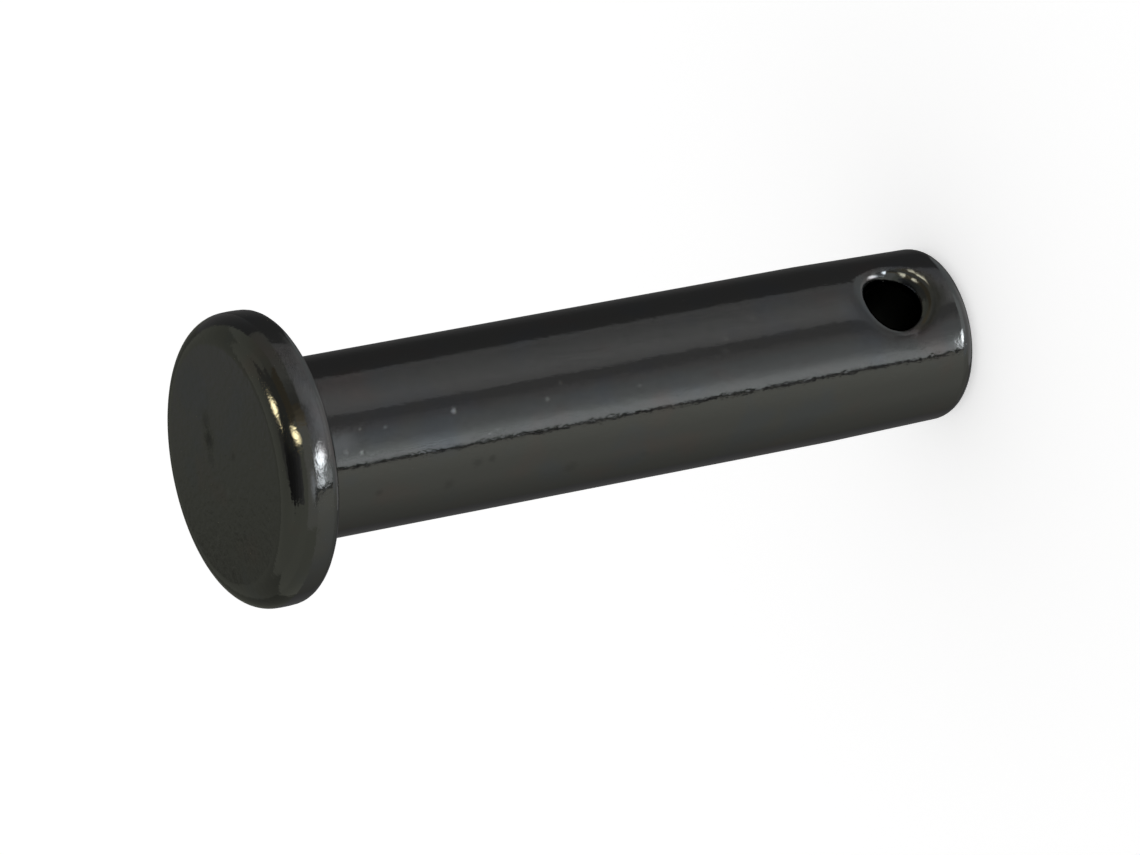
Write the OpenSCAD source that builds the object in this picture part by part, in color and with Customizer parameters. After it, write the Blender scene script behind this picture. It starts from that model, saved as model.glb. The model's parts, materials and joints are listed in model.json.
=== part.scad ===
// Clevis pin in steel: a straight shank with a flat round head, a slightly tapered
// end with a rounded edge, and a cross hole with rounded mouths for a split pin.
// The pin stands on its free end: +Z runs along it, up to the head.

/* [Shank] */
// Diameter of the shank
shank_d = 7.9; // [6:0.1:10]
// Length of the shank, from the end to the head's underside
shank_l = 33; // [24:0.5:60]
// Radius of the fillet between the shank and the head
neck_fillet_r = 0.4; // [0.1:0.05:0.9]

/* [Head] */
// Diameter of the head
head_d = 12.8; // [11:0.1:18]
// Thickness of the head
head_t = 2.4; // [2.2:0.1:5]
// Radius of the round between the rim and the outer face
face_round_r = 1.2; // [0.2:0.1:1.5]
// Radius of the round between the rim and the underside
seat_round_r = 0.5; // [0.2:0.1:1.1]

/* [Free end] */
// Radius of the round on the end's edge
end_round_r = 0.9; // [0.2:0.1:1.6]
// Length of the taper above that round
taper_l = 5.5; // [1:0.5:10]
// What the taper takes off the shank's diameter
taper_off = 0.24; // [0.04:0.02:0.8]

/* [Cross hole] */
// Diameter of the cross hole
hole_d = 2.5; // [1.4:0.1:3.4]
// Distance from the end to the hole's axis
hole_to_end = 3.5; // [3.2:0.1:8]
// Radius of the curve that rounds each mouth
lip_r = 1; // [0.9:0.1:2]
// Width of that round on the shank's crown
lip_w = 0.6; // [0.1:0.05:0.8]

/* [Hidden] */
$fn = 96;

// How far a cutting or joining shape reaches past the surface it meets
over = 0.5;

shank_r = shank_d / 2;
head_r = head_d / 2;
total_l = shank_l + head_t;
end_r = shank_r - taper_off / 2;
taper_top = end_round_r + taper_l;
hole_r = hole_d / 2;

// The shank's radius at the hole, between the end's edge and the top of the taper
hole_rise = min(1, max(0, (hole_to_end - end_round_r) / taper_l));
crown_r = end_r + (shank_r - end_r) * hole_rise;
// Each mouth's curve starts this far out along the hole, where it leaves the wall
lip_depth = sqrt(pow(lip_r, 2) - pow(lip_r - lip_w, 2));
wall_half = crown_r - lip_depth;

// What a round of radius r takes off a square corner that points to +X +Y
module corner_off(r) {
    translate([-r, -r])
        difference() {
            square(r + over);
            circle(r);
        }
}

// Half section of the shank, with its taper and the rounded edge of its end
module shank_section() {
    difference() {
        polygon([
            [0, 0],
            [end_r, 0],
            [end_r, end_round_r],
            [shank_r, taper_top],
            [shank_r, shank_l + over],
            [0, shank_l + over]
        ]);
        translate([end_r, 0]) mirror([0, 1]) corner_off(end_round_r);
    }
}

// Half section of the head, rounded on both edges of its rim
module head_section() {
    difference() {
        translate([0, shank_l]) square([head_r, head_t]);
        translate([head_r, total_l]) corner_off(face_round_r);
        translate([head_r, shank_l]) mirror([0, 1]) corner_off(seat_round_r);
    }
}

// Half section of the whole turned form, with the fillet under the head
module pin_section() {
    shank_section();
    head_section();
    translate([shank_r, shank_l]) mirror([1, 0]) corner_off(neck_fillet_r);
}

// Half section of what the cross hole removes: a straight wall that flares at both mouths
module hole_section() {
    difference() {
        translate([0, -shank_r - over]) square([hole_r + lip_r, shank_d + 2 * over]);
        translate([hole_r, -wall_half]) square([lip_r + over, 2 * wall_half]);
        for (side = [-1, 1])
            translate([hole_r + lip_r, side * wall_half]) circle(lip_r);
    }
}

module clevis_pin() {
    color("#5c5c58")
        difference() {
            rotate_extrude() pin_section();
            translate([0, 0, hole_to_end])
                rotate([90, 0, 0])
                    rotate_extrude() hole_section();
        }
}

clevis_pin();
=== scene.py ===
"""The looks of a steel clevis pin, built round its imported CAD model. Lengths are in metres."""

import json
import math

import bpy
from mathutils import Matrix, Vector


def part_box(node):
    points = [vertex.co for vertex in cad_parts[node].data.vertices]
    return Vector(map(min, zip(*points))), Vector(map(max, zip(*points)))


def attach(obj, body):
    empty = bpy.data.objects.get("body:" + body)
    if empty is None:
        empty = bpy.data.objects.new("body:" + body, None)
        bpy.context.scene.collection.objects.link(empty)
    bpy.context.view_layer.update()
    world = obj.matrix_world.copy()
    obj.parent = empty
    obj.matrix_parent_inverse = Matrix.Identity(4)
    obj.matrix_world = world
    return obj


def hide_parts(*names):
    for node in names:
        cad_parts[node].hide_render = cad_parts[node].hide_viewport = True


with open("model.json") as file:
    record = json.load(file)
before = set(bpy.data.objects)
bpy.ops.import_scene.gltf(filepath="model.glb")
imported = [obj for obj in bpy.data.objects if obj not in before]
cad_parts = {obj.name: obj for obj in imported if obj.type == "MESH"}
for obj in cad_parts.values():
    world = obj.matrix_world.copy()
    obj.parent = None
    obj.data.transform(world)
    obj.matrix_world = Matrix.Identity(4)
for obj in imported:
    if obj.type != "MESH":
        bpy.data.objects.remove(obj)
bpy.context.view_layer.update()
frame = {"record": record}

MM = 0.001
MICRON = 0.000001

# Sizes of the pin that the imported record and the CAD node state
MOUNTS = {mount["name"]: mount for mount in frame["record"]["mounts"]}
PIN_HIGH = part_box("clevis_pin")[1]
PIN_TOP = PIN_HIGH.z
HEAD_RADIUS = PIN_HIGH.x
SHANK_RADIUS = MOUNTS["shank"]["dims"]["r_mm"] * MM
SEAT_HEIGHT = MOUNTS["head_seat"]["pos_m"][2]
HOLE_RADIUS = MOUNTS["cross_hole"]["dims"]["r_mm"] * MM
HOLE_HEIGHT = MOUNTS["cross_hole"]["pos_m"][2]

# Rounds and taper of the turned section. The rim bulges a little between its two rounds.
FACE_ROUND = 1.2 * MM
SEAT_ROUND = 0.5 * MM
NECK_FILLET = 0.4 * MM
RIM_CROWN = 0.06 * MM
RIM_MIDDLE = 0.85 * MM
RIM_BLEND = 5.4 * MM
END_ROUND = 0.9 * MM
TAPER_TOP = 6.4 * MM
TAPER_OFF = 0.12 * MM
TAPER_BLEND = 20 * MM
END_RADIUS = SHANK_RADIUS - TAPER_OFF

# The cross hole's mouths: the lip rolls from the wall out to this slope at the shank, and the cutter
# flares on at that slope until it is this far outside the wall
LIP_ROUND = 0.8 * MM
LIP_REACH = 1.76 * MM
LIP_SLOPE = math.radians(5.5)
TAPER_SLOPE = TAPER_OFF / (TAPER_TOP - END_ROUND)
CROWN_RADIUS = END_RADIUS + TAPER_SLOPE * (HOLE_HEIGHT - END_ROUND)
# The hole's wall has its own finish, from a little outside its radius to this far below the crown.
# Its dark colour is painted shade inside the hole.
WALL_MARGIN = 0.03 * MM
WALL_BELOW_CROWN = 1.0 * MM

# The photograph's camera: where it looks, from which side, and how far it is rolled
PHOTO_WIDTH = 1140
PHOTO_FOCAL = 7069.8
SENSOR_WIDTH = 36
CAMERA_AZIMUTH = math.radians(-28.1)
CAMERA_AIM_ACROSS = -1.173 * MM
CAMERA_AIM_HEIGHT = 18.87 * MM
CAMERA_ELEVATION = math.radians(27.187)
CAMERA_ROLL = math.radians(-100.789)
CAMERA_DISTANCE = 307.25 * MM


# Helpers for nodes and objects

def add_node(tree, kind, inputs=None, **settings):
    """Adds a node. An input that is given a socket is linked, and any other value is written on it."""
    made = tree.nodes.new(kind)
    for name, value in settings.items():
        setattr(made, name, value)
    for key, value in (inputs or {}).items():
        socket = made.inputs[key]
        if isinstance(value, bpy.types.NodeSocket):
            tree.links.new(value, socket)
        else:
            socket.default_value = value
    return made


def calculate(tree, operation, first, second=0.0, third=0.0):
    """A Math node's result."""
    values = {0: first, 1: second, 2: third}
    return add_node(tree, "ShaderNodeMath", values, operation=operation).outputs[0]


def square_sum(tree, first, second):
    """The squares of both, added."""
    first_square = calculate(tree, "MULTIPLY", first, first)
    second_square = calculate(tree, "MULTIPLY", second, second)
    return calculate(tree, "ADD", first_square, second_square)


def smooth_step(tree, value, low, high):
    """0 at low, 1 at high, with no corner at either."""
    return add_node(
        tree, "ShaderNodeMapRange",
        {"Value": value, "From Min": low, "From Max": high, "To Min": 0.0, "To Max": 1.0},
        interpolation_type="SMOOTHSTEP",
    ).outputs["Result"]


def new_group(name, kind, inputs, outputs):
    """A node group with named sockets. Each is (name, socket type) or (name, socket type, default)."""
    tree = bpy.data.node_groups.new(name, kind)
    for side, sockets in (("INPUT", inputs), ("OUTPUT", outputs)):
        for entry in sockets:
            socket = tree.interface.new_socket(entry[0], in_out=side, socket_type=entry[1])
            if len(entry) > 2:
                socket.default_value = entry[2]
    start = tree.nodes.new("NodeGroupInput")
    end = tree.nodes.new("NodeGroupOutput")
    return tree, start.outputs, end.inputs


def place_group(tree, group, inputs):
    """Places a node group in a tree and feeds it."""
    kind = "GeometryNodeGroup" if tree.bl_idname == "GeometryNodeTree" else "ShaderNodeGroup"
    made = tree.nodes.new(kind)
    made.node_tree = group
    for key, value in inputs.items():
        if isinstance(value, bpy.types.NodeSocket):
            tree.links.new(value, made.inputs[key])
        else:
            made.inputs[key].default_value = value
    return made


def place_object(name, data):
    """A new object at the origin, in the scene."""
    made = bpy.data.objects.new(name, data)
    bpy.context.scene.collection.objects.link(made)
    return made


# The pin's form

def section_curve(name, corners):
    """A half section as a curve of (radius, height, round) corners. The round is kept as the
    point's radius."""
    data = bpy.data.curves.new(name, "CURVE")
    data.dimensions = "3D"
    spline = data.splines.new("POLY")
    spline.points.add(len(corners) - 1)
    for point, (radius, height, corner_round) in zip(spline.points, corners):
        point.co = (radius, 0, height, 1)
        point.radius = corner_round
    return place_object(name, data)


def pin_section():
    """The pin's half section, from the middle of its end to the middle of its head."""
    return section_curve("pin_section", [
        (0, 0, 0),
        (END_RADIUS, 0, END_ROUND),
        (SHANK_RADIUS, TAPER_TOP, TAPER_BLEND),
        (SHANK_RADIUS, SEAT_HEIGHT, NECK_FILLET),
        (HEAD_RADIUS - RIM_CROWN, SEAT_HEIGHT, SEAT_ROUND),
        (HEAD_RADIUS, SEAT_HEIGHT + RIM_MIDDLE, RIM_BLEND),
        (HEAD_RADIUS - RIM_CROWN, PIN_TOP, FACE_ROUND),
        (0, PIN_TOP, 0),
    ])


def hole_section():
    """What the cross hole removes, before its mouths follow the shank: a straight wall with a rolled
    lip at both ends."""
    tangent = LIP_ROUND * math.tan((math.pi / 2 - LIP_SLOPE) / 2)
    corner = CROWN_RADIUS - tangent * math.sin(LIP_SLOPE)
    wide = HOLE_RADIUS + LIP_REACH
    rise = corner + LIP_REACH * math.tan(LIP_SLOPE)
    return section_curve("hole_section", [
        (0, -rise, 0),
        (wide, -rise, 0),
        (HOLE_RADIUS, -corner, LIP_ROUND),
        (HOLE_RADIUS, corner, LIP_ROUND),
        (wide, rise, 0),
        (0, rise, 0),
    ])


def turned_solid_group():
    """Turns a half section round Z into a closed mesh. Each vertex takes its radius and height from
    the section and its angle from its column."""
    tree, given, result = new_group("turned_solid", "GeometryNodeTree", [
        ("Section", "NodeSocketGeometry"),
        ("Columns", "NodeSocketInt", 224),
        ("Rows", "NodeSocketInt", 384),
        ("Points On A Round", "NodeSocketInt", 32),
        ("Seam", "NodeSocketFloat", 0.5 * MICRON),
    ], [("Solid", "NodeSocketGeometry")])
    corner_round = add_node(tree, "GeometryNodeInputRadius").outputs[0]
    rounded = add_node(tree, "GeometryNodeFilletCurve", {
        "Curve": given["Section"],
        "Count": given["Points On A Round"],
        "Radius": corner_round,
    }, mode="POLY")
    columns = calculate(tree, "ADD", given["Columns"], 1)
    grid = add_node(tree, "GeometryNodeMeshGrid", {
        "Size X": 1.0,
        "Size Y": 1.0,
        "Vertices X": columns,
        "Vertices Y": given["Rows"],
    })
    turn_and_share = add_node(tree, "ShaderNodeSeparateXYZ", {0: grid.outputs["UV Map"]}).outputs
    angle = calculate(tree, "MULTIPLY", turn_and_share["X"], 2 * math.pi)
    sampled = add_node(tree, "GeometryNodeSampleCurve", {
        "Curves": rounded.outputs[0],
        "Factor": turn_and_share["Y"],
    }, mode="FACTOR", use_all_curves=True)
    on_section = add_node(tree, "ShaderNodeSeparateXYZ", {0: sampled.outputs["Position"]}).outputs
    turned = add_node(tree, "ShaderNodeCombineXYZ", {
        "X": calculate(tree, "MULTIPLY", on_section["X"], calculate(tree, "COSINE", angle)),
        "Y": calculate(tree, "MULTIPLY", on_section["X"], calculate(tree, "SINE", angle)),
        "Z": on_section["Z"],
    })
    placed = add_node(tree, "GeometryNodeSetPosition", {
        "Geometry": grid.outputs["Mesh"],
        "Position": turned.outputs[0],
    })
    closed = add_node(tree, "GeometryNodeMergeByDistance", {
        "Geometry": placed.outputs[0],
        "Distance": given["Seam"],
    })
    tree.links.new(closed.outputs[0], result["Solid"])
    return tree


def follow_shank_group():
    """Bends the two mouths of a straight cutter to the shank, so that the lip is even all round.
    The cutter stands on Z here. X runs across the shank, and Y along it."""
    tree, given, result = new_group("follow_shank", "GeometryNodeTree", [
        ("Cutter", "NodeSocketGeometry"),
        ("Crown Radius", "NodeSocketFloat", CROWN_RADIUS),
        ("Taper Slope", "NodeSocketFloat", TAPER_SLOPE),
        ("Straight Below", "NodeSocketFloat", 1.5 * MM),
        ("Bent Above", "NodeSocketFloat", 3.0 * MM),
    ], [("Cutter", "NodeSocketGeometry")])
    position = add_node(tree, "GeometryNodeInputPosition").outputs[0]
    parts = add_node(tree, "ShaderNodeSeparateXYZ", {0: position}).outputs
    crown_square = calculate(tree, "MULTIPLY", given["Crown Radius"], given["Crown Radius"])
    across_square = calculate(tree, "MULTIPLY", parts["X"], parts["X"])
    height = calculate(tree, "SQRT", calculate(tree, "SUBTRACT", crown_square, across_square))
    sag = calculate(tree, "SUBTRACT", height, given["Crown Radius"])
    change = calculate(tree, "ADD", sag, calculate(tree, "MULTIPLY", parts["Y"], given["Taper Slope"]))
    depth = calculate(tree, "ABSOLUTE", parts["Z"])
    bent = smooth_step(tree, depth, given["Straight Below"], given["Bent Above"])
    side = calculate(tree, "SIGN", parts["Z"])
    shift = calculate(tree, "MULTIPLY", calculate(tree, "MULTIPLY", change, bent), side)
    offset = add_node(tree, "ShaderNodeCombineXYZ", {"Z": shift}).outputs[0]
    moved = add_node(tree, "GeometryNodeSetPosition", {
        "Geometry": given["Cutter"],
        "Offset": offset,
    })
    tree.links.new(moved.outputs[0], result["Cutter"])
    return tree


def soften_group():
    """Rounds the crest that a cut leaves, as tumbling does. Only the mesh near those edges moves."""
    tree, given, result = new_group("soften_crest", "GeometryNodeTree", [
        ("Mesh", "NodeSocketGeometry"),
        ("Crest", "NodeSocketBool"),
        ("Width", "NodeSocketFloat", 0.35 * MM),
        ("Passes", "NodeSocketInt", 12),
        ("Sliver", "NodeSocketFloat", 0.02 * MM),
    ], [("Mesh", "NodeSocketGeometry")])
    crest = add_node(tree, "GeometryNodeSeparateGeometry", {
        "Geometry": given["Mesh"],
        "Selection": given["Crest"],
    }, domain="EDGE")

    def distance():
        target = {0: crest.outputs["Selection"]}
        near = add_node(tree, "GeometryNodeProximity", target, target_element="EDGES")
        return near.outputs["Distance"]

    close = calculate(tree, "LESS_THAN", distance(), given["Width"])
    clean = add_node(tree, "GeometryNodeMergeByDistance", {
        "Geometry": given["Mesh"],
        "Selection": close,
        "Distance": given["Sliver"],
    })
    weight = smooth_step(tree, distance(), given["Width"], 0.0)
    position = add_node(tree, "GeometryNodeInputPosition").outputs[0]
    blurred = add_node(tree, "GeometryNodeBlurAttribute", {
        "Value": position,
        "Iterations": given["Passes"],
        "Weight": weight,
    }, data_type="FLOAT_VECTOR")
    moved = add_node(tree, "GeometryNodeSetPosition", {
        "Geometry": clean.outputs[0],
        "Position": blurred.outputs[0],
    })
    tree.links.new(moved.outputs[0], result["Mesh"])
    return tree


def press_marks_group():
    """Presses a small dent at each mark. A mark is a point with its own reach, depth and stretch
    along Z."""
    tree, given, result = new_group("press_marks", "GeometryNodeTree", [
        ("Mesh", "NodeSocketGeometry"),
        ("Marks", "NodeSocketGeometry"),
    ], [("Mesh", "NodeSocketGeometry")])
    position = add_node(tree, "GeometryNodeInputPosition").outputs[0]
    nearest = add_node(tree, "GeometryNodeSampleNearest", {"Geometry": given["Marks"]}, domain="POINT")

    def of_mark(value, data_type):
        sampled = add_node(tree, "GeometryNodeSampleIndex", {
            "Geometry": given["Marks"],
            "Value": value,
            "Index": nearest.outputs[0],
        }, data_type=data_type, domain="POINT")
        return sampled.outputs[0]

    def named(name):
        read = add_node(tree, "GeometryNodeInputNamedAttribute", {"Name": name}, data_type="FLOAT")
        return of_mark(read.outputs[0], "FLOAT")

    centre = of_mark(position, "FLOAT_VECTOR")
    away = add_node(tree, "ShaderNodeVectorMath", {0: position, 1: centre}, operation="SUBTRACT")
    parts = add_node(tree, "ShaderNodeSeparateXYZ", {0: away.outputs[0]}).outputs
    squeezed = add_node(tree, "ShaderNodeCombineXYZ", {
        "X": parts["X"],
        "Y": parts["Y"],
        "Z": calculate(tree, "DIVIDE", parts["Z"], named("stretch")),
    })
    length = add_node(tree, "ShaderNodeVectorMath", {0: squeezed.outputs[0]}, operation="LENGTH")
    share = calculate(tree, "DIVIDE", length.outputs["Value"], named("reach"))
    press = calculate(tree, "MULTIPLY", smooth_step(tree, share, 1.0, 0.0), named("depth"))
    normal = add_node(tree, "GeometryNodeInputNormal").outputs[0]
    offset = add_node(tree, "ShaderNodeVectorMath", {
        0: normal,
        "Scale": calculate(tree, "MULTIPLY", press, -1.0),
    }, operation="SCALE")
    moved = add_node(tree, "GeometryNodeSetPosition", {
        "Geometry": given["Mesh"],
        "Offset": offset.outputs[0],
    })
    tree.links.new(moved.outputs[0], result["Mesh"])
    return tree


def scatter_marks_group():
    """Scatters marks over a surface, with a fixed seed and each with sizes of its own."""
    tree, given, result = new_group("scatter_marks", "GeometryNodeTree", [
        ("Mesh", "NodeSocketGeometry"),
        ("Marks Per Square Metre", "NodeSocketFloat", 90000.0),
        ("Apart", "NodeSocketFloat", 1.0 * MM),
        ("Least Reach", "NodeSocketFloat", 0.2 * MM),
        ("Most Reach", "NodeSocketFloat", 0.45 * MM),
        ("Least Depth", "NodeSocketFloat", 1 * MICRON),
        ("Most Depth", "NodeSocketFloat", 6 * MICRON),
        ("Most Stretch", "NodeSocketFloat", 2.5),
        ("Seed", "NodeSocketInt", 7),
    ], [("Marks", "NodeSocketGeometry")])
    spread = add_node(tree, "GeometryNodeDistributePointsOnFaces", {
        "Mesh": given["Mesh"],
        "Distance Min": given["Apart"],
        "Density Max": given["Marks Per Square Metre"],
        "Seed": given["Seed"],
    }, distribute_method="POISSON")
    points = spread.outputs["Points"]
    ranges = (
        ("reach", given["Least Reach"], given["Most Reach"]),
        ("depth", given["Least Depth"], given["Most Depth"]),
        ("stretch", 1.0, given["Most Stretch"]),
    )
    for step, (name, low, high) in enumerate(ranges):
        drawn = add_node(tree, "FunctionNodeRandomValue", {
            2: low,
            3: high,
            "Seed": calculate(tree, "ADD", given["Seed"], step + 1),
        }, data_type="FLOAT")
        stored = add_node(tree, "GeometryNodeStoreNamedAttribute", {
            "Geometry": points,
            "Name": name,
            "Value": drawn.outputs[1],
        }, data_type="FLOAT", domain="POINT")
        points = stored.outputs[0]
    tree.links.new(points, result["Marks"])
    return tree


# Marks that the photograph shows on the shank: angle from the camera's side, height and reach in mm,
# depth in microns, and how much brighter or darker the metal is there
SEEN_MARKS = [
    (6.4, 26.2, 0.15, 8, 2.2),
    (5.9, 30.7, 0.08, 4, 0.9),
    (4.2, 29.5, 0.10, 4, 0.9),
    (-6.6, 31.5, 0.13, 6, 0.5),
    (-8.9, 30.8, 0.13, 6, 0.6),
    (2.8, 21.7, 0.12, 6, 0.9),
    (-11.5, 24.7, 0.07, 4, 0.5),
    (-9.8, 24.3, 0.08, 4, 0.5),
    (-28.9, 25.3, 0.26, 3, -0.18),
    (-28.2, 24.6, 0.20, 3, -0.22),
    (-41.2, 26.6, 0.28, 4, -0.16),
    (-37.0, 30.0, 0.18, 4, -0.18),
    (-47.5, 20.6, 0.34, 10, -0.12),
    (-48.7, 16.9, 0.18, 8, 0.0),
    (11.5, 20.9, 0.10, 6, 0.5),
    (0.5, 17.2, 0.10, 6, 0.5),
    (31.2, 10.8, 0.22, 8, 0.2),
    (20.2, 12.5, 0.18, 6, 0.3),
    (11.1, 12.7, 0.20, 6, 0.2),
]
# Marks on the head's face: place on X and Y, reach, depth and the change in brightness
FACE_MARKS = [
    (2.24, -0.10, 0.42, 4, -0.35),
    (1.49, 0.34, 0.48, 8, -0.65),
    (0.88, 0.83, 0.34, 3, -0.25),
    (-0.30, -1.08, 0.24, 3, -0.3),
    (-0.89, 0.64, 0.26, 3, 0.1),
]


def mark_places():
    """Centre, reach, depth and change in brightness of each seen mark, in millimetres and microns."""
    radius = SHANK_RADIUS / MM
    places = []
    for angle, height, reach, depth, change in SEEN_MARKS:
        turn = CAMERA_AZIMUTH + math.radians(angle)
        places.append(((radius * math.sin(turn), -radius * math.cos(turn), height), reach, depth, change))
    for on_x, on_y, reach, depth, change in FACE_MARKS:
        places.append(((on_x, on_y, PIN_TOP / MM), reach, depth, change))
    return places


def clevis_pin_tree():
    """The whole pin: turned, cross drilled, softened at the mouths, and marked by handling."""
    tree, given, result = new_group("clevis_pin", "GeometryNodeTree", [
        ("Pin Section", "NodeSocketObject"),
        ("Hole Section", "NodeSocketObject"),
        ("Hole Height", "NodeSocketFloat", HOLE_HEIGHT),
        ("Pin Columns", "NodeSocketInt", 224),
        ("Pin Rows", "NodeSocketInt", 384),
        ("Hole Columns", "NodeSocketInt", 120),
        ("Hole Rows", "NodeSocketInt", 150),
        ("Sink Depth", "NodeSocketFloat", 40 * MICRON),
        ("Sink Reach", "NodeSocketFloat", 3.6 * MM),
        ("Sink Deepest At", "NodeSocketFloat", 1.0 * MM),
        ("Wave Height", "NodeSocketFloat", 6 * MICRON),
        ("Wave Scale", "NodeSocketFloat", 0.3),
        ("Seed", "NodeSocketInt", 11),
        ("Wall Radius", "NodeSocketFloat", HOLE_RADIUS + WALL_MARGIN),
        ("Wall Half", "NodeSocketFloat", CROWN_RADIUS - WALL_BELOW_CROWN),
        ("Finish", "NodeSocketMaterial"),
        ("Wall Finish", "NodeSocketMaterial"),
    ], [("Pin", "NodeSocketGeometry")])
    turned_solid = turned_solid_group()

    def section(name):
        return add_node(tree, "GeometryNodeObjectInfo", {"Object": given[name]}).outputs["Geometry"]

    body = place_group(tree, turned_solid, {
        "Section": section("Pin Section"),
        "Columns": given["Pin Columns"],
        "Rows": given["Pin Rows"],
    })
    drill = place_group(tree, turned_solid, {
        "Section": section("Hole Section"),
        "Columns": given["Hole Columns"],
        "Rows": given["Hole Rows"],
    })
    bent = place_group(tree, follow_shank_group(), {"Cutter": drill.outputs[0]})
    height = add_node(tree, "ShaderNodeCombineXYZ", {"Z": given["Hole Height"]}).outputs[0]
    laid = add_node(tree, "GeometryNodeTransform", {
        "Geometry": bent.outputs[0],
        "Translation": height,
        "Rotation": (math.pi / 2, 0, 0),
    })
    drilled = add_node(tree, "GeometryNodeMeshBoolean", {
        0: body.outputs[0],
        1: laid.outputs[0],
    }, operation="DIFFERENCE", solver="EXACT")
    softened = place_group(tree, soften_group(), {
        "Mesh": drilled.outputs["Mesh"],
        "Crest": drilled.outputs["Intersecting Edges"],
    })
    position = add_node(tree, "GeometryNodeInputPosition").outputs[0]
    place = add_node(tree, "ShaderNodeSeparateXYZ", {0: position}).outputs
    above = calculate(tree, "SUBTRACT", place["Z"], given["Hole Height"])
    from_axis = calculate(tree, "SQRT", square_sum(tree, place["X"], above))
    # The shank sinks softly towards both mouths, from the drilling's pressure
    near_mouth = smooth_step(tree, from_axis, given["Sink Reach"], given["Sink Deepest At"])
    sink = calculate(tree, "MULTIPLY", near_mouth, given["Sink Depth"])
    outward = calculate(tree, "MULTIPLY", sink, calculate(tree, "SIGN", place["Y"]))
    inward = calculate(tree, "MULTIPLY", outward, -1.0)
    sunk = add_node(tree, "GeometryNodeSetPosition", {
        "Geometry": softened.outputs[0],
        "Offset": add_node(tree, "ShaderNodeCombineXYZ", {"Y": inward}).outputs[0],
    })
    # Slow waves of the forming, along the surface's normal
    in_mm = add_node(tree, "ShaderNodeVectorMath", {0: position, "Scale": 1 / MM}, operation="SCALE")
    waves = add_node(tree, "ShaderNodeTexNoise", {
        "Vector": in_mm.outputs[0],
        "Scale": given["Wave Scale"],
        "Detail": 1.0,
    })
    centred = calculate(tree, "SUBTRACT", waves.outputs[0], 0.5)
    normal = add_node(tree, "GeometryNodeInputNormal").outputs[0]
    lift = add_node(tree, "ShaderNodeVectorMath", {
        0: normal,
        "Scale": calculate(tree, "MULTIPLY", centred, given["Wave Height"]),
    }, operation="SCALE")
    waved = add_node(tree, "GeometryNodeSetPosition", {
        "Geometry": sunk.outputs[0],
        "Offset": lift.outputs[0],
    })
    scattered = place_group(tree, scatter_marks_group(), {
        "Mesh": waved.outputs[0],
        "Seed": given["Seed"],
    })
    handled = place_group(tree, press_marks_group(), {
        "Mesh": waved.outputs[0],
        "Marks": scattered.outputs[0],
    })
    smooth = add_node(tree, "GeometryNodeSetShadeSmooth", {"Geometry": handled.outputs[0]})
    realized = add_node(tree, "GeometryNodeRealizeInstances", {"Geometry": smooth.outputs[0]})
    finished = add_node(tree, "GeometryNodeSetMaterial", {
        "Geometry": realized.outputs[0],
        "Material": given["Finish"],
    })
    # The hole's wall has a finish of its own, whose dark colour is painted shade inside the hole
    near_axis = calculate(tree, "LESS_THAN", from_axis, given["Wall Radius"])
    deep = calculate(tree, "LESS_THAN", calculate(tree, "ABSOLUTE", place["Y"]), given["Wall Half"])
    walled = add_node(tree, "GeometryNodeSetMaterial", {
        "Geometry": finished.outputs[0],
        "Selection": calculate(tree, "MULTIPLY", near_axis, deep),
        "Material": given["Wall Finish"],
    })
    tree.links.new(walled.outputs[0], result["Pin"])
    return tree


def grow(name, tree, values):
    """Runs a tree on an empty mesh with the given inputs and returns the result as a plain object."""
    seed_mesh = bpy.data.meshes.new(name + "_start")
    made = place_object(name, seed_mesh)
    modifier = made.modifiers.new("grow", "NODES")
    modifier.node_group = tree
    inputs = [item for item in tree.interface.items_tree if item.in_out == "INPUT"]
    identifiers = {item.name: item.identifier for item in inputs}
    for key, value in values.items():
        modifier[identifiers[key]] = value
    bpy.context.view_layer.update()
    graph = bpy.context.evaluated_depsgraph_get()
    mesh = bpy.data.meshes.new_from_object(made.evaluated_get(graph))
    mesh.name = name
    # The empty slot of the mesh that the tree started from
    if mesh.materials[0] is None:
        mesh.materials.pop(index=0)
    made.modifiers.remove(modifier)
    made.data = mesh
    bpy.data.meshes.remove(seed_mesh)
    return made


# Finishes

def noise(tree, vector, scale, detail=2.0, roughness=0.5, distortion=0.0):
    """A noise of about 0 to 1. The scale counts waves a millimetre."""
    return add_node(tree, "ShaderNodeTexNoise", {
        "Vector": vector,
        "Scale": scale,
        "Detail": detail,
        "Roughness": roughness,
        "Distortion": distortion,
    }).outputs[0]


def stretched(tree, vector, scale):
    """The same coordinates, scaled on each axis."""
    return add_node(tree, "ShaderNodeMapping", {"Vector": vector, "Scale": scale}).outputs[0]


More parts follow.
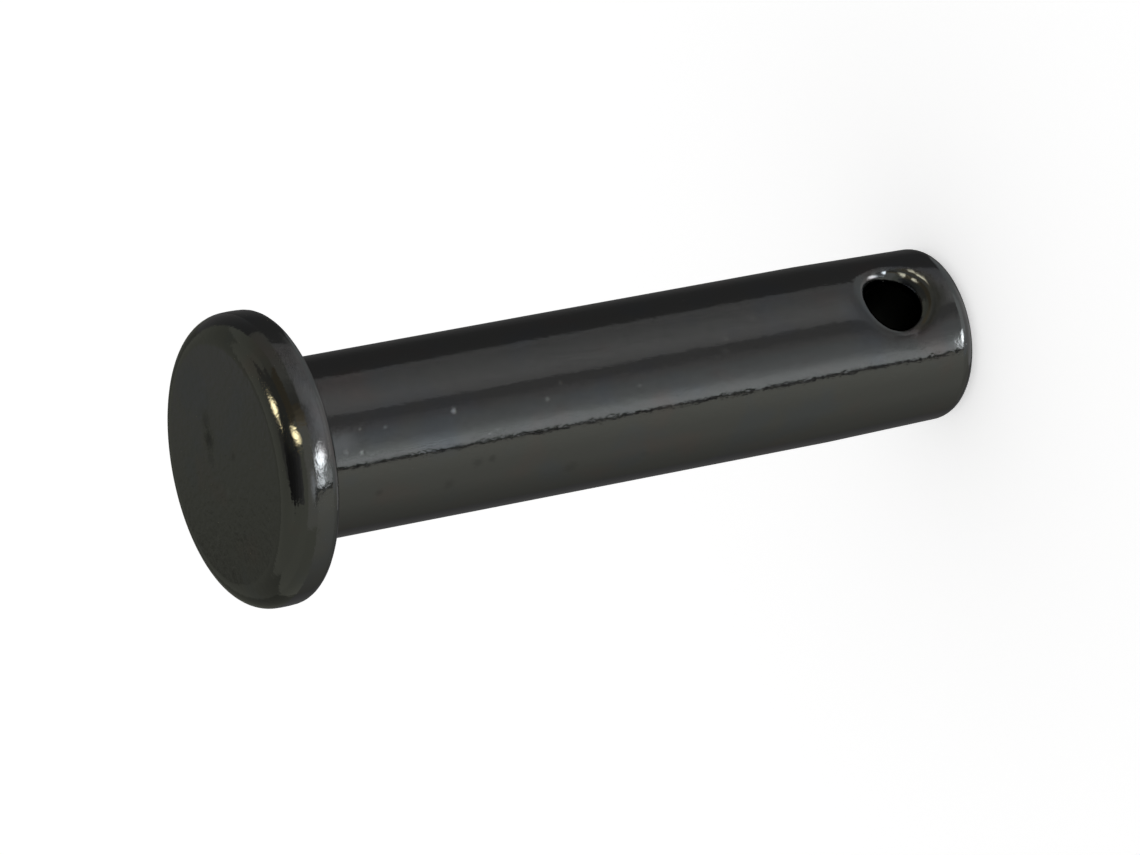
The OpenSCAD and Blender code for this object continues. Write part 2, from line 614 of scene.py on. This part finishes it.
def relief_group():
    """Relief of a drawn and tumbled surface, in microns: orange peel, drawing lines and pits."""
    tree, given, result = new_group("tumbled_relief", "ShaderNodeTree", [
        ("Vector", "NodeSocketVector"),
        ("Peel Microns", "NodeSocketFloat", 4.0),
        ("Peel Scale", "NodeSocketFloat", 3.2),
        ("Line Microns", "NodeSocketFloat", 0.6),
        ("Line Scale", "NodeSocketFloat", 7.0),
        ("Pit Microns", "NodeSocketFloat", 5.0),
        ("Pit Share", "NodeSocketFloat", 0.12),
        ("Pit Cells", "NodeSocketFloat", 1.6),
        ("Least Pit", "NodeSocketFloat", 0.06),
        ("Pit Spread", "NodeSocketFloat", 0.12),
    ], [("Microns", "NodeSocketFloat")])
    peel = noise(tree, given["Vector"], given["Peel Scale"], detail=2.5, roughness=0.55, distortion=0.3)
    peel = calculate(tree, "MULTIPLY", peel, given["Peel Microns"])
    # The drawing lines run along the pin
    along = stretched(tree, given["Vector"], (1.0, 1.0, 0.12))
    lines = noise(tree, along, given["Line Scale"], detail=1.0)
    lines = calculate(tree, "MULTIPLY", lines, given["Line Microns"])
    # Some cells hold a pit at their middle, each of a size of its own
    cells = add_node(tree, "ShaderNodeTexVoronoi", {
        "Vector": given["Vector"],
        "Scale": given["Pit Cells"],
        "Randomness": 1.0,
    })
    draw = add_node(tree, "ShaderNodeSeparateColor", {"Color": cells.outputs["Color"]}).outputs
    chosen = calculate(tree, "LESS_THAN", draw["Red"], given["Pit Share"])
    size = calculate(tree, "MULTIPLY_ADD", draw["Green"], given["Pit Spread"], given["Least Pit"])
    inside = smooth_step(tree, calculate(tree, "DIVIDE", cells.outputs["Distance"], size), 1.0, 0.2)
    pits = calculate(tree, "MULTIPLY", inside, chosen)
    sunk = calculate(tree, "MULTIPLY", pits, given["Pit Microns"])
    total = calculate(tree, "SUBTRACT", calculate(tree, "ADD", peel, lines), sunk)
    tree.links.new(total, result["Microns"])
    return tree


def seen_marks_group():
    """Small ragged nicks and stains where the photograph shows them, in microns, and the factor by which
    they change the metal's brightness."""
    tree, given, result = new_group("seen_marks", "ShaderNodeTree", [
        ("Vector", "NodeSocketVector"),
        ("Ragged Scale", "NodeSocketFloat", 11.0),
    ], [("Microns", "NodeSocketFloat"), ("Brightness", "NodeSocketFloat")])
    # The noise is a half on average, so twice the reach times the noise is the reach, made ragged. A mark
    # fades in from 1.3 of that to 0.2 of it.
    ragged = noise(tree, given["Vector"], given["Ragged Scale"], detail=2.0)
    raised = 0.0
    brightness = 1.0
    for centre, reach, depth, change in mark_places():
        to_centre = {0: given["Vector"], 1: centre}
        apart = add_node(tree, "ShaderNodeVectorMath", to_centre, operation="DISTANCE")
        edge = calculate(tree, "MULTIPLY", ragged, 2 * reach)
        share = calculate(tree, "DIVIDE", apart.outputs["Value"], edge)
        inside = smooth_step(tree, share, 1.3, 0.2)
        raised = calculate(tree, "MULTIPLY_ADD", inside, -depth, raised)
        brightness = calculate(tree, "MULTIPLY_ADD", inside, change, brightness)
    tree.links.new(raised, result["Microns"])
    tree.links.new(brightness, result["Brightness"])
    return tree


def tint_group():
    """Slow changes of the plating's tint between an olive, a bluish and a reddish grey."""
    tree, given, result = new_group("plating_tint", "ShaderNodeTree", [
        ("Vector", "NodeSocketVector"),
        ("Main", "NodeSocketColor", (0.112, 0.113, 0.111, 1)),
        ("Cool", "NodeSocketColor", (0.107, 0.112, 0.118, 1)),
        ("Warm", "NodeSocketColor", (0.120, 0.111, 0.108, 1)),
        ("Patch Scale", "NodeSocketFloat", 0.35),
    ], [("Color", "NodeSocketColor")])
    # A tint shows where its noise is high
    cool = smooth_step(tree, noise(tree, given["Vector"], given["Patch Scale"]), 0.52, 0.68)
    # The warm patches read the same noise somewhere else
    elsewhere = add_node(tree, "ShaderNodeMapping", {"Vector": given["Vector"], "Location": (37, 11, 5)})
    warm = smooth_step(tree, noise(tree, elsewhere.outputs[0], given["Patch Scale"]), 0.56, 0.72)
    color = given["Main"]
    for share, tint in ((cool, given["Cool"]), (warm, given["Warm"])):
        mix = add_node(tree, "ShaderNodeMix", {0: share, 6: color, 7: tint}, data_type="RGBA")
        color = mix.outputs[2]
    tree.links.new(color, result["Color"])
    return tree


def empty_material(name):
    """A material with an empty node tree."""
    material = bpy.data.materials.new(name)
    material.use_nodes = True
    material.node_tree.nodes.clear()
    return material, material.node_tree


def start_material(name):
    """An empty material with the piece's own coordinates, counted in millimetres."""
    material, tree = empty_material(name)
    coords = add_node(tree, "ShaderNodeTexCoord").outputs["Object"]
    return material, tree, stretched(tree, coords, (1 / MM,) * 3)


def finish_material(tree, shader):
    """Shows a shader on the surface."""
    out = add_node(tree, "ShaderNodeOutputMaterial")
    tree.links.new(shader.outputs[0], out.inputs["Surface"])


def pin_steel(relief, tint):
    """Dark plated steel, drawn and tumbled."""
    material, tree, in_mm = start_material("pin_steel")
    surface = place_group(tree, relief, {"Vector": in_mm, "Peel Microns": 9.0, "Pit Microns": 10.0})
    marks = place_group(tree, seen_marks_group(), {"Vector": in_mm})
    height = calculate(tree, "ADD", surface.outputs["Microns"], marks.outputs["Microns"])
    color = add_node(tree, "ShaderNodeVectorMath", {
        0: place_group(tree, tint, {"Vector": in_mm}).outputs[0],
        "Scale": marks.outputs["Brightness"],
    }, operation="SCALE").outputs[0]
    # Rubbed and duller patches, about a millimetre across
    rough = add_node(tree, "ShaderNodeMapRange", {
        "Value": noise(tree, in_mm, 0.8, detail=4.0),
        "From Min": 0.3,
        "From Max": 0.7,
        "To Min": 0.07,
        "To Max": 0.12,
    }).outputs[0]
    bump = add_node(tree, "ShaderNodeBump", {"Height": height, "Distance": MICRON})
    shader = add_node(tree, "ShaderNodeBsdfPrincipled", {
        "Base Color": color,
        "Metallic": 1.0,
        "Roughness": rough,
        "Normal": bump.outputs[0],
    })
    finish_material(tree, shader)
    return material


def bore_marks_and_painted_shade(relief, tint):
    """The wall of the cross hole, with fine turning marks. Its dark colour is painted shade inside the
    hole.
    """
    material, tree, in_mm = start_material("bore_marks_and_painted_shade")
    # The relief is drawn out round the hole and fine along it, as a drill leaves it
    rings = stretched(tree, in_mm, (0.3, 6.0, 0.3))
    surface = place_group(tree, relief, {"Vector": rings, "Peel Microns": 6.0, "Pit Share": 0.0})
    # These dark colours are painted shade inside the hole, not the steel's own colour
    color = place_group(tree, tint, {
        "Vector": in_mm,
        "Main": (0.020, 0.020, 0.018, 1),
        "Cool": (0.016, 0.017, 0.018, 1),
        "Warm": (0.026, 0.021, 0.016, 1),
    }).outputs[0]
    bump = add_node(tree, "ShaderNodeBump", {"Height": surface.outputs["Microns"], "Distance": MICRON})
    shader = add_node(tree, "ShaderNodeBsdfPrincipled", {
        "Base Color": color,
        "Metallic": 1.0,
        "Roughness": 0.35,
        "Normal": bump.outputs[0],
    })
    finish_material(tree, shader)
    return material


def build_pin():
    """The pin as one plain mesh, which stands for its CAD node."""
    sections = (pin_section(), hole_section())
    relief = relief_group()
    tint = tint_group()
    pin = grow("pin", clevis_pin_tree(), {
        "Pin Section": sections[0],
        "Hole Section": sections[1],
        "Hole Height": HOLE_HEIGHT,
        "Wall Radius": HOLE_RADIUS + WALL_MARGIN,
        "Wall Half": CROWN_RADIUS - WALL_BELOW_CROWN,
        "Finish": pin_steel(relief, tint),
        "Wall Finish": bore_marks_and_painted_shade(relief, tint),
    })
    for helper in sections:
        bpy.data.objects.remove(helper)
    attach(pin, "root")
    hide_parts("clevis_pin")
    return pin


# Camera and studio

def add_camera():
    """The photograph's viewpoint."""
    data = bpy.data.cameras.new("camera")
    data.sensor_width = SENSOR_WIDTH
    data.lens = PHOTO_FOCAL / PHOTO_WIDTH * SENSOR_WIDTH
    data.clip_start = 0.01
    camera = place_object("camera", data)
    aim = Vector((
        CAMERA_AIM_ACROSS * math.cos(CAMERA_AZIMUTH),
        CAMERA_AIM_ACROSS * math.sin(CAMERA_AZIMUTH),
        CAMERA_AIM_HEIGHT,
    ))
    back = Vector((
        math.sin(CAMERA_AZIMUTH) * math.cos(CAMERA_ELEVATION),
        -math.cos(CAMERA_AZIMUTH) * math.cos(CAMERA_ELEVATION),
        math.sin(CAMERA_ELEVATION),
    ))
    level = (-back).to_track_quat("-Z", "Y").to_matrix().to_4x4()
    camera.matrix_world = (
        Matrix.Translation(aim + back * CAMERA_DISTANCE) @ level @ Matrix.Rotation(CAMERA_ROLL, 4, "Z")
    )
    bpy.context.scene.camera = camera
    return camera


# Tints of the surroundings
TINTS = {
    "neutral": (1.00, 1.00, 1.00),
    "cool": (0.96, 1.01, 1.02),
    "olive": (1.02, 1.03, 0.93),
    "moss": (1.03, 1.06, 0.89),
    "brown": (1.18, 1.04, 0.74),
}
# Boards that only the metal's reflections show, as seen from the pin's end. Azimuths are measured
# from the camera's side. A tone of 1 would be the white of the surroundings.
BOARDS = [
    # place, tint, azimuth from and to, elevation from and to, tone from and to
    ("far side", "neutral", 134, 180, -40, -16, 0.075, 0.085),
    ("far side right", "neutral", 180, 226, -40, -16, 0.085, 0.125),
    ("far left", "neutral", 92, 134, -40, -16, 0.135, 0.07),
    ("left", "neutral", 77, 92, -40, -16, 0.35, 0.33),
    ("near left", "neutral", 50, 77, -40, -16, 0.51, 0.36),
    ("front left", "neutral", 34, 50, -40, -16, 0.44, 0.52),
    ("front edge", "neutral", 21, 34, -40, -16, 0.25, 0.24),
    ("front", "neutral", 9, 21, -40, -16, 0.42, 0.28),
    ("front middle", "cool", -9, 9, -40, -16, 0.61, 0.42),
    ("front right", "cool", -18, -9, -40, -16, 0.95, 0.61),
    ("front bright", "cool", -29.6, -18, -40, -16, 1.25, 1.05),
    ("edge strip", "neutral", -34.0, -29.6, -40, -16, 0.08, 0.08),
    ("right", "olive", -60, -34.0, -40, -16, 0.45, 0.57),
    ("far right", "olive", -83, -60, -40, -16, 0.39, 0.45),
    ("back right", "olive", -134, -83, -40, -16, 0.125, 0.39),
    ("level front", "olive", -60, 18, -16, 16, 0.43, 0.46),
    ("level corner", "brown", 18, 34, -16, 16, 0.38, 0.15),
    ("level near left", "olive", 34, 56, -16, 16, 0.15, 0.26),
    ("level left", "olive", 56, 105, -16, 16, 0.29, 0.24),
    ("level far left", "neutral", 105, 160, -16, 16, 0.11, 0.12),
    ("level far side", "moss", 160, 230, -16, 16, 0.09, 0.125),
    ("level right", "moss", 230, 300, -16, 16, 0.28, 0.32),
    ("upper corner", "brown", 24, 68, 16, 40, 0.15, 0.15),
    ("upper left", "moss", 68, 130, 16, 40, 0.21, 0.30),
    ("upper far side", "moss", 130, 230, 16, 40, 0.20, 0.175),
    ("upper right", "moss", -130, -44, 16, 40, 0.32, 0.33),
    ("upper front", "moss", -44, 24, 16, 32, 0.33, 0.30),
    ("hood edge right", "neutral", -44, 0, 32, 40, 0.17, 0.17),
    ("hood edge left", "brown", 0, 24, 32, 40, 0.20, 0.18),
    ("hood right 1", "neutral", -46, 0, 40, 50, 0.12, 0.12),
    ("hood right 2", "neutral", -54, 0, 50, 60, 0.08, 0.08),
    ("hood right 3", "neutral", -70, 0, 60, 70, 0.055, 0.06),
    ("hood right 4", "neutral", -88, 0, 70, 79, 0.045, 0.05),
    ("hood left 1", "olive", 0, 84, 40, 50, 0.12, 0.14),
    ("hood left 2", "olive", 0, 116, 50, 60, 0.12, 0.15),
    ("hood left 3", "olive", 0, 132, 60, 70, 0.09, 0.19),
    ("hood left 4", "olive", 0, 132, 70, 79, 0.06, 0.19),
    ("hood top right", "neutral", -100, 45, 79, 90, 0.04, 0.08),
    ("hood top left", "olive", 45, 260, 79, 90, 0.12, 0.20),
    ("high back 1", "moss", 84, 314, 40, 50, 0.28, 0.32),
    ("high back 2", "moss", 116, 306, 50, 60, 0.28, 0.32),
    ("high back 3", "moss", 132, 290, 60, 70, 0.26, 0.34),
    ("high back 4", "moss", 132, 272, 70, 79, 0.24, 0.32),
    ("low front", "cool", -10, 50, -65, -40, 0.85, 0.70),
    ("low right", "cool", -45, -10, -65, -40, 0.50, 0.70),
    ("low far right", "olive", -80, -45, -65, -40, 0.37, 0.44),
    ("low left", "cool", 50, 140, -65, -40, 0.52, 0.32),
    ("low far side", "neutral", 140, 230, -65, -40, 0.17, 0.12),
    ("low back", "olive", 230, 280, -65, -40, 0.22, 0.32),
    ("bottom", "neutral", -180, 180, -90, -65, 0.55, 0.55),
]
# How far the boards stand from the pin, and how many degrees each of their facets turns at most
BOARD_DISTANCE = 0.5
BOARD_STEP = 6


def studio_direction(azimuth, elevation):
    """A direction from the pin, with its azimuth in degrees from the camera's side."""
    turn = CAMERA_AZIMUTH - math.pi / 2 + math.radians(azimuth)
    lift = math.radians(elevation)
    return Vector((math.cos(turn) * math.cos(lift), math.sin(turn) * math.cos(lift), math.sin(lift)))


def only_in_reflections(thing):
    """Hides a thing from everything but glossy rays."""
    thing.visible_camera = False
    thing.visible_diffuse = False
    thing.visible_transmission = False
    thing.visible_volume_scatter = False
    thing.visible_shadow = False


def add_boards():
    """All boards as one mesh, with the light of each as a colour attribute."""
    vertices, faces, colors = [], [], []
    for place, tint, turn_from, turn_to, lift_from, lift_to, tone_from, tone_to in BOARDS:
        columns = max(1, round((turn_to - turn_from) / BOARD_STEP))
        rows = max(1, round((lift_to - lift_from) / BOARD_STEP))
        first = len(vertices)
        for column in range(columns + 1):
            share = column / columns
            for row in range(rows + 1):
                azimuth = turn_from + (turn_to - turn_from) * share
                elevation = lift_from + (lift_to - lift_from) * row / rows
                vertices.append(studio_direction(azimuth, elevation) * BOARD_DISTANCE)
                tone = tone_from + (tone_to - tone_from) * share
                colors.extend([tone * part for part in TINTS[tint]] + [1.0])
        for column in range(columns):
            for row in range(rows):
                corner = first + column * (rows + 1) + row
                faces.append((corner, corner + 1, corner + rows + 2, corner + rows + 1))
    mesh = bpy.data.meshes.new("studio_boards")
    mesh.from_pydata(vertices, [], faces)
    attribute = mesh.attributes.new("light", "FLOAT_COLOR", "POINT")
    attribute.data.foreach_set("color", colors)
    boards = place_object("studio_boards", mesh)
    material, tree = empty_material("board_grey")
    light = add_node(tree, "ShaderNodeAttribute", attribute_name="light").outputs["Color"]
    glow = add_node(tree, "ShaderNodeEmission", {"Color": light, "Strength": 1.0})
    finish_material(tree, glow)
    material.cycles.emission_sampling = "NONE"
    mesh.materials.append(material)
    only_in_reflections(boards)
    return boards


# Small lamps, hazes and shades that only the metal's reflections show. Each is a patch with a soft round
# outline, whose width, height and lean are in degrees. It is shaded so that only a stretch of the pin sees
# it, and that stretch fades out over the last length. Where two overlap, the later one stands in front.
WARM = (1.0, 0.86, 0.52)
CREAM = (1.0, 0.92, 0.70)
COOL = (0.90, 0.95, 1.0)
BROWN = (1.2, 1.0, 0.62)
OLIVE = (1.0, 1.0, 0.85)
NEUTRAL = (1.0, 1.0, 1.0)
LAMPS = [
    # place, colour, azimuth, elevation, width, height, lean, brightness, stretch from and to, fade in mm
    ("rim haze", COOL, 18, -34, 74, 34, 0, 0.9, 34.4, 60, 0.6),
    ("rim haze left", NEUTRAL, 78, -38, 60, 24, 0, 0.5, 34.4, 60, 0.6),
    ("rim haze low", COOL, -27, -10, 32, 28, 0, 1.15, 34.2, 60, 0.4),
    ("rim shade", NEUTRAL, -35, -17, 16, 14, 0, 0.05, 34.2, 60, 0.4),
    ("near head", COOL, -3, -26, 42, 24, 0, 0.9, 31.7, 33.8, 1.0),
    ("mouth shade right", OLIVE, 48, -20, 70, 24, 0, 0.2, 1.2, 2.8, 0.3),
    ("mouth shade low", NEUTRAL, 38, -47, 84, 38, 0, 0.3, 4.2, 6.0, 0.4),
    ("mouth brown", BROWN, 74, -2, 52, 70, 0, 0.26, 1.5, 2.5, 0.3),
    ("mouth brown left", BROWN, 30, 26, 60, 50, 0, 0.24, 2.1, 2.9, 0.15),
    ("end shade", NEUTRAL, -30, 15, 70, 60, 0, 0.15, -60, 0.9, 0.3),
    ("face shade", OLIVE, 182.0, 23.4, 3.8, 3.8, 0, 0.08, 15, 60, 1),
    ("face light", NEUTRAL, 177.3, 24.5, 6.4, 6.4, 0, 0.225, 15, 60, 1),
    ("head long", WARM, 83, 69.8, 32, 13, 21, 14, 15, 60, 1),
    ("head dot", WARM, 55, 73, 12, 6, 48, 7, 15, 60, 1),
    ("head oval", WARM, 12, 27.5, 42, 15, 77, 14, 32, 60, 1),
    ("rim", COOL, -9.5, -25.5, 27, 12, -13, 12, 34.4, 60, 0.4),
    ("rim low", COOL, -25, -24.5, 13, 8, 0, 5.5, 34.4, 60, 0.4),
    ("end", COOL, -16, -39.3, 26, 16.5, -21, 14, -60, 1.25, 0.25),
    ("mouth left", COOL, 3, -58, 60, 32, -40, 7, 3.4, 4.1, 0.3),
    ("mouth top", COOL, 18, -19, 54, 14, -7, 10, 3.2, 3.4, 0.06),
    ("mouth warm 1", CREAM, 25, 18, 64, 14, -39, 5, 2.35, 2.65, 0.15),
    ("mouth warm 2", CREAM, 37, 31, 34, 12, -59, 5, 2.05, 2.25, 0.12),
    ("mouth warm 3", CREAM, 76, -18, 22, 18, 0, 4, 2.05, 2.2, 0.08),
    ("mouth warm 4", CREAM, 67, -14, 26, 18, 0, 5, 1.75, 1.95, 0.08),
]
# The first stands at this share of the boards' distance, and each later one a step in front of it
LAMP_SHARE = 0.62
LAMP_STEP = 0.006
# Where a ray left the pin is taken this far from the pin's axis
LEAVE_RADIUS = SHANK_RADIUS - 0.25 * MM


def height_left(tree):
    """The height at which the ray that meets a lamp crossed LEAVE_RADIUS round the pin."""
    geometry = add_node(tree, "ShaderNodeNewGeometry").outputs
    toward = add_node(tree, "ShaderNodeSeparateXYZ", {0: geometry["Incoming"]}).outputs
    start_at = add_node(tree, "ShaderNodeSeparateXYZ", {0: geometry["Position"]}).outputs
    level_square = square_sum(tree, toward["X"], toward["Y"])
    along = calculate(
        tree, "ADD",
        calculate(tree, "MULTIPLY", toward["X"], start_at["X"]),
        calculate(tree, "MULTIPLY", toward["Y"], start_at["Y"]),
    )
    to_axis = calculate(tree, "DIVIDE", calculate(tree, "MULTIPLY", along, -1.0), level_square)
    passes_square = calculate(
        tree, "MULTIPLY_ADD", along, to_axis, square_sum(tree, start_at["X"], start_at["Y"]),
    )
    chord_square = calculate(tree, "SUBTRACT", LEAVE_RADIUS ** 2, passes_square)
    chord_square = calculate(tree, "MAXIMUM", chord_square, 0.0)
    half_chord = calculate(tree, "SQRT", calculate(tree, "DIVIDE", chord_square, level_square))
    to_shank = calculate(tree, "SUBTRACT", to_axis, half_chord)
    return calculate(tree, "MULTIPLY_ADD", to_shank, toward["Z"], start_at["Z"])


def shaded_lamp():
    """A glow in the patch's own light, inside its outline and for its stretch of the pin. The boards
    show through elsewhere."""
    material, tree = empty_material("shaded_lamp")
    height = height_left(tree)
    stretch = add_node(tree, "ShaderNodeAttribute", attribute_name="stretch").outputs["Vector"]
    ends = add_node(tree, "ShaderNodeSeparateXYZ", {0: stretch}).outputs
    above = calculate(tree, "SUBTRACT", height, ends["X"])
    below = calculate(tree, "SUBTRACT", ends["Y"], height)
    inside = calculate(tree, "MINIMUM", above, below)
    share = calculate(tree, "DIVIDE", inside, ends["Z"])
    in_stretch = smooth_step(tree, share, -1.0, 0.0)
    on_patch = add_node(tree, "ShaderNodeAttribute", attribute_name="corner").outputs["Vector"]
    from_middle = add_node(tree, "ShaderNodeVectorMath", {0: on_patch}, operation="LENGTH")
    in_outline = smooth_step(tree, from_middle.outputs["Value"], 1.0, 0.0)
    light = add_node(tree, "ShaderNodeAttribute", attribute_name="light").outputs["Color"]
    glow = add_node(tree, "ShaderNodeEmission", {"Color": light, "Strength": 1.0})
    clear = add_node(tree, "ShaderNodeBsdfTransparent")
    both = add_node(tree, "ShaderNodeMixShader", {
        0: calculate(tree, "MULTIPLY", in_stretch, in_outline),
        1: clear.outputs[0],
        2: glow.outputs[0],
    })
    finish_material(tree, both)
    material.cycles.emission_sampling = "NONE"
    return material


def add_lamps():
    """All lamps as one mesh of square patches, with each one's light and stretch as attributes."""
    vertices, faces, colors, stretches, corners = [], [], [], [], []
    for step, lamp in enumerate(LAMPS):
        place, color, azimuth, elevation, width, height, lean, brightness, low, high, fade = lamp
        distance = BOARD_DISTANCE * (LAMP_SHARE - LAMP_STEP * step)
        facing = studio_direction(azimuth, elevation).to_track_quat("Z", "Y").to_matrix().to_4x4()
        facing = facing @ Matrix.Rotation(math.radians(lean), 4, "Z")
        half_width = distance * math.tan(math.radians(width / 2))
        half_height = distance * math.tan(math.radians(height / 2))
        middle_height = Vector((0, 0, max(0, min(PIN_TOP, (low + high) / 2 * MM))))
        first = len(vertices)
        for across, up in ((-1, -1), (1, -1), (1, 1), (-1, 1)):
            corner = facing @ Vector((across * half_width, up * half_height, distance))
            vertices.append(corner + middle_height)
            colors.extend([brightness * part for part in color] + [1.0])
            stretches.extend([low * MM, high * MM, fade * MM])
            corners.extend([across, up, 0])
        faces.append((first, first + 1, first + 2, first + 3))
    mesh = bpy.data.meshes.new("studio_lamps")
    mesh.from_pydata(vertices, [], faces)
    mesh.attributes.new("light", "FLOAT_COLOR", "POINT").data.foreach_set("color", colors)
    mesh.attributes.new("stretch", "FLOAT_VECTOR", "POINT").data.foreach_set("vector", stretches)
    mesh.attributes.new("corner", "FLOAT_VECTOR", "POINT").data.foreach_set("vector", corners)
    lamps = place_object("studio_lamps", mesh)
    mesh.materials.append(shaded_lamp())
    only_in_reflections(lamps)
    return lamps


FLOOR_HALF = 3.0
FLOOR_COLOR = (0.8, 0.8, 0.8, 1)
# What the eye sees added to the floor, which brings it to white
FLOOR_GLOW = 0.54
# The world's strength for the eye and for reflections, and the soft light that falls on things
WORLD_SEEN = 1.0
WORLD_LIGHT = 0.75


def add_floor():
    """A plain pale floor that keeps the pin's shadow."""
    half = FLOOR_HALF
    mesh = bpy.data.meshes.new("floor")
    corners = [(-half, -half, 0), (half, -half, 0), (half, half, 0), (-half, half, 0)]
    mesh.from_pydata(corners, [], [(0, 1, 2, 3)])
    floor = place_object("floor", mesh)
    material, tree = empty_material("pale_floor")
    diffuse = add_node(tree, "ShaderNodeBsdfDiffuse", {"Color": FLOOR_COLOR})
    seen = add_node(tree, "ShaderNodeLightPath").outputs["Is Camera Ray"]
    glow = add_node(tree, "ShaderNodeEmission", {"Strength": calculate(tree, "MULTIPLY", seen, FLOOR_GLOW)})
    both = add_node(tree, "ShaderNodeAddShader", {0: diffuse.outputs[0], 1: glow.outputs[0]})
    finish_material(tree, both)
    mesh.materials.append(material)
    # The metal mirrors the surroundings past the floor, and lamps may stand lower than it
    floor.visible_glossy = False
    floor.visible_shadow = False
    return floor


def add_world():
    """White for the eye and for reflections, and a plain soft light for everything else."""
    world = bpy.data.worlds.new("studio")
    world.use_nodes = True
    tree = world.node_tree
    tree.nodes.clear()
    path = add_node(tree, "ShaderNodeLightPath").outputs
    shown = calculate(tree, "MAXIMUM", path["Is Camera Ray"], path["Is Glossy Ray"])
    shown = calculate(tree, "MAXIMUM", shown, path["Is Transmission Ray"])
    strength = add_node(tree, "ShaderNodeMapRange", {
        "Value": shown,
        "To Min": WORLD_LIGHT,
        "To Max": WORLD_SEEN,
    })
    background = add_node(tree, "ShaderNodeBackground", {"Strength": strength.outputs[0]})
    out = add_node(tree, "ShaderNodeOutputWorld")
    tree.links.new(background.outputs[0], out.inputs["Surface"])
    bpy.context.scene.world = world


build_pin()
add_camera()
add_floor()
add_world()
add_boards()
add_lamps()
bpy.context.scene.view_settings.view_transform = "Standard"
